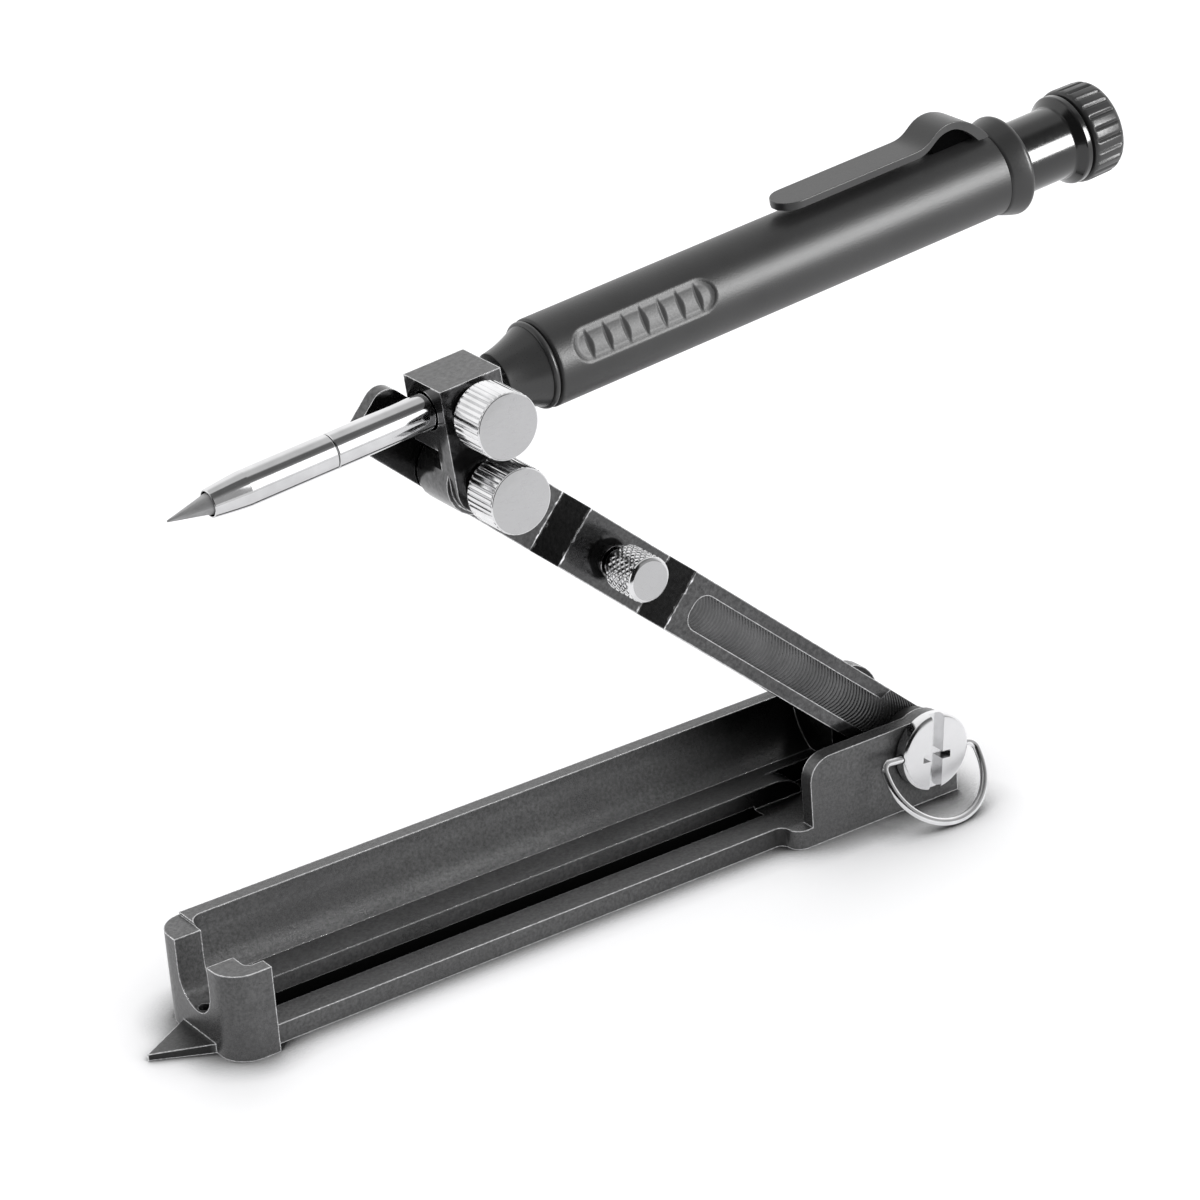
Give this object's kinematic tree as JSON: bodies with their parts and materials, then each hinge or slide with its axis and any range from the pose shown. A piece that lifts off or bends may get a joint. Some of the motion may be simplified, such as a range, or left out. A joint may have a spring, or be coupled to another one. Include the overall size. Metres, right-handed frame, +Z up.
{
  "type": "marking gauge",
  "caption": "Folding marking gauge: a channel tray with a pointed tip and a hinged arm whose swivelling clamp holds a push-button pencil.",
  "frame": {"origin": "on the tray's flat underside, straight below the hinge's axis, in the plane of the marking point", "axes": "X along the tray with the marking point at -X, Y across it with the screw heads at -Y, +Z up"},
  "size_m": [0.1519, 0.0302, 0.0957],
  "materials": {
    "cast": "satin black coat",
    "gloss_cast": "gloss black coat",
    "nylon": "matt black",
    "nickel": "bright plated, straight knurl",
    "bright": "polished",
    "graphite": "dull grey sheen",
    "brass": "turned",
    "barrel_plastic": "fine matt grain",
    "button_plastic": "gloss black",
    "cap_plastic": "satin",
    "spring_steel": "plain"
  },
  "bodies": {
    "base": {"base_tray": "cast", "hinge_spacer": "nylon"},
    "hinge_screw": {"hinge_screw": "nickel"},
    "ring": {"screw_d_ring": "bright"},
    "arm": {"arm": "cast"},
    "pad_screw": {"pad_thumb_screw": "nickel"},
    "carriage": {"carriage": "gloss_cast"},
    "lock_knob": {"carriage_lock_knob": "nickel"},
    "clamp_knob": {"pencil_clamp_knob": "nickel"},
    "pencil": {"nose_tip": "bright", "nose_tube": "bright", "front_cone": "barrel_plastic", "pencil_barrel": "barrel_plastic", "rear_collar": "barrel_plastic", "pocket_clip": "barrel_plastic", "return_spring": "spring_steel"},
    "button": {"push_button": "button_plastic", "collet": "brass", "lead_guide_tube": "brass"},
    "lead": {"lead": "graphite"},
    "cap": {"sharpener_cap": "cap_plastic", "sharpener_blade": "spring_steel"}
  },
  "joints": [
    {"name": "arm_fold", "type": "hinge", "parent": "base", "child": "arm", "pos_m": [0, 0, 0.0082], "axis": [0, 1, 0], "range_deg": [-30, 130]},
    {"name": "carriage_swivel", "type": "hinge", "parent": "arm", "child": "carriage", "pos_m": [-0.06703, 0, 0.06856], "axis": [0, 1, 0], "range_deg": [-12, 40]},
    {"name": "pencil_slide", "type": "slide", "parent": "carriage", "child": "pencil", "axis": [0.9959, 0, 0.0906], "range_m": [0, 0.024]},
    {"name": "button_push", "type": "slide", "parent": "pencil", "child": "button", "axis": [-0.9959, 0, -0.0906], "range_m": [0, 0.0035], "stiffness_N_per_m": 600, "springref_m": -0.001, "deforming": ["return_spring"]},
    {"name": "lead_slide", "type": "slide", "parent": "pencil", "child": "lead", "axis": [0.9959, 0, 0.0906], "range_m": [-0.01, 0.005]},
    {"name": "cap_pull", "type": "slide", "parent": "button", "child": "cap", "axis": [0.9959, 0, 0.0906], "range_m": [0, 0.015]},
    {"name": "clamp_knob_turn", "type": "hinge", "parent": "carriage", "child": "clamp_knob", "pos_m": [-0.06796, -0.0082, 0.07871], "axis": [0, 1, 0], "continuous": true},
    {"name": "lock_knob_turn", "type": "hinge", "parent": "arm", "child": "lock_knob", "pos_m": [-0.06703, 0, 0.06856], "axis": [0, 1, 0], "continuous": true},
    {"name": "pad_screw_turn", "type": "hinge", "parent": "arm", "child": "pad_screw", "pos_m": [-0.04444, 0, 0.04821], "axis": [0, 1, 0], "continuous": true},
    {"name": "hinge_screw_turn", "type": "hinge", "parent": "base", "child": "hinge_screw", "pos_m": [0, 0, 0.0082], "axis": [0, 1, 0], "continuous": true},
    {"name": "ring_flip", "type": "hinge", "parent": "hinge_screw", "child": "ring", "pos_m": [0, -0.01215, 0.0082], "axis": [-0.9945, 0, 0.1045], "range_deg": [-36, 130]}
  ]
}
